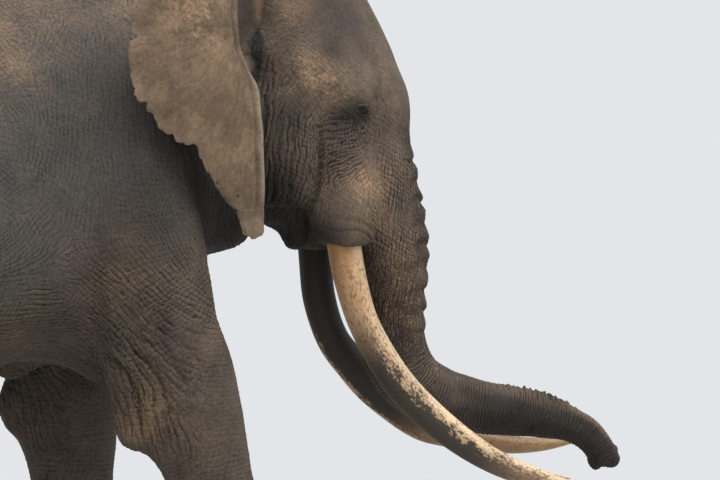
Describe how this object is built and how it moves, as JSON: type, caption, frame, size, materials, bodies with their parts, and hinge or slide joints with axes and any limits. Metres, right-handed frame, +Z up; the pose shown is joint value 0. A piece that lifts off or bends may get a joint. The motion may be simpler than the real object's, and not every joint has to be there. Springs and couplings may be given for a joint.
{
  "type": "african bush elephant bull",
  "caption": "Life-size standing elephant with long curved tusks, ears folded back and the trunk reaching forward.",
  "frame": {"origin": "on the floor, under the middle of the animal's box", "axes": "+X the way the animal faces, +Y its left side, +Z up"},
  "size_m": [5.2762, 1.4868, 3.4605],
  "materials": {
    "hide": "dry, deeply wrinkled grey-brown hide dusted with ochre earth",
    "ear_hide": "thinner, warmer brown hide with fine radial folds",
    "ivory": "satin cream ivory, stained brown-black in patches",
    "eye": "wet gloss, dark amber-brown",
    "hair": "coarse black bristles"
  },
  "bodies": {
    "root": {"belly": "hide", "chest": "hide", "ear_left": "ear_hide", "ear_right": "ear_hide", "eye_left": "eye", "eye_right": "eye", "foreleg_left_foot": "hide", "foreleg_left_lower": "hide", "foreleg_left_upper": "hide", "foreleg_right_foot": "hide", "foreleg_right_lower": "hide", "foreleg_right_upper": "hide", "head": "hide", "hindleg_left_foot": "hide", "hindleg_left_lower": "hide", "hindleg_left_upper": "hide", "hindleg_right_foot": "hide", "hindleg_right_lower": "hide", "hindleg_right_upper": "hide", "jaw": "hide", "neck": "hide", "rump": "hide", "tail": "hide", "tail_tuft": "hair", "trunk_1": "hide", "trunk_2": "hide", "trunk_3": "hide", "trunk_4": "hide", "trunk_5": "hide", "tusk_left": "ivory", "tusk_right": "ivory"}
  },
  "joints": []
}
